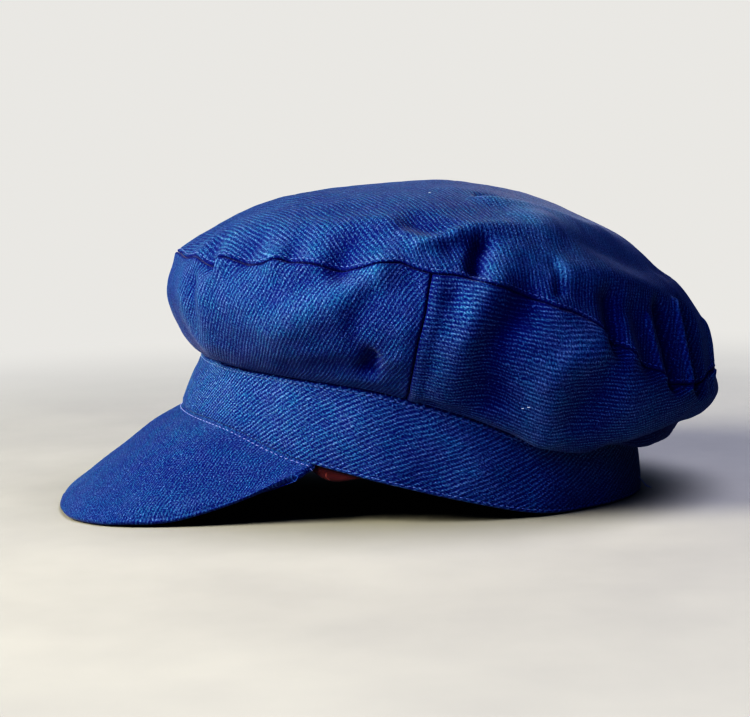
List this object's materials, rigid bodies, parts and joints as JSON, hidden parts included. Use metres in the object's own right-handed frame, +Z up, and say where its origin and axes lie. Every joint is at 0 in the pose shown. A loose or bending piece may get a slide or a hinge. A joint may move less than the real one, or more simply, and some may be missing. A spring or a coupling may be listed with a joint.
{
  "type": "soft peaked cap",
  "caption": "Soft round peaked cap of blue twill with a gathered flat top, deep side panels, a plain band, a curved stiff peak and a dark red lining, lying on its peak and the back of its band.",
  "frame": {"origin": "on the surface that the cap lies on, under the middle of the head opening", "axes": "+Z up, the front of the cap and its peak face -Y, and the wearer's left is +X"},
  "size_m": [0.2248, 0.2933, 0.1404],
  "materials": {
    "crown_twill": "brushed cotton twill, matte with a faint sheen",
    "front_twill": "brushed cotton twill, matte with a faint sheen",
    "back_twill": "brushed cotton twill, matte with a faint sheen",
    "band_twill": "cotton twill, matte",
    "peak_twill": "cotton twill over a stiffener, matte",
    "lining_cloth": "smooth plain-woven lining"
  },
  "bodies": {
    "root": {"crown_top": "crown_twill", "side_panel_front": "front_twill", "side_panel_back": "back_twill", "band": "band_twill", "peak": "peak_twill", "lining": "lining_cloth"}
  },
  "joints": []
}
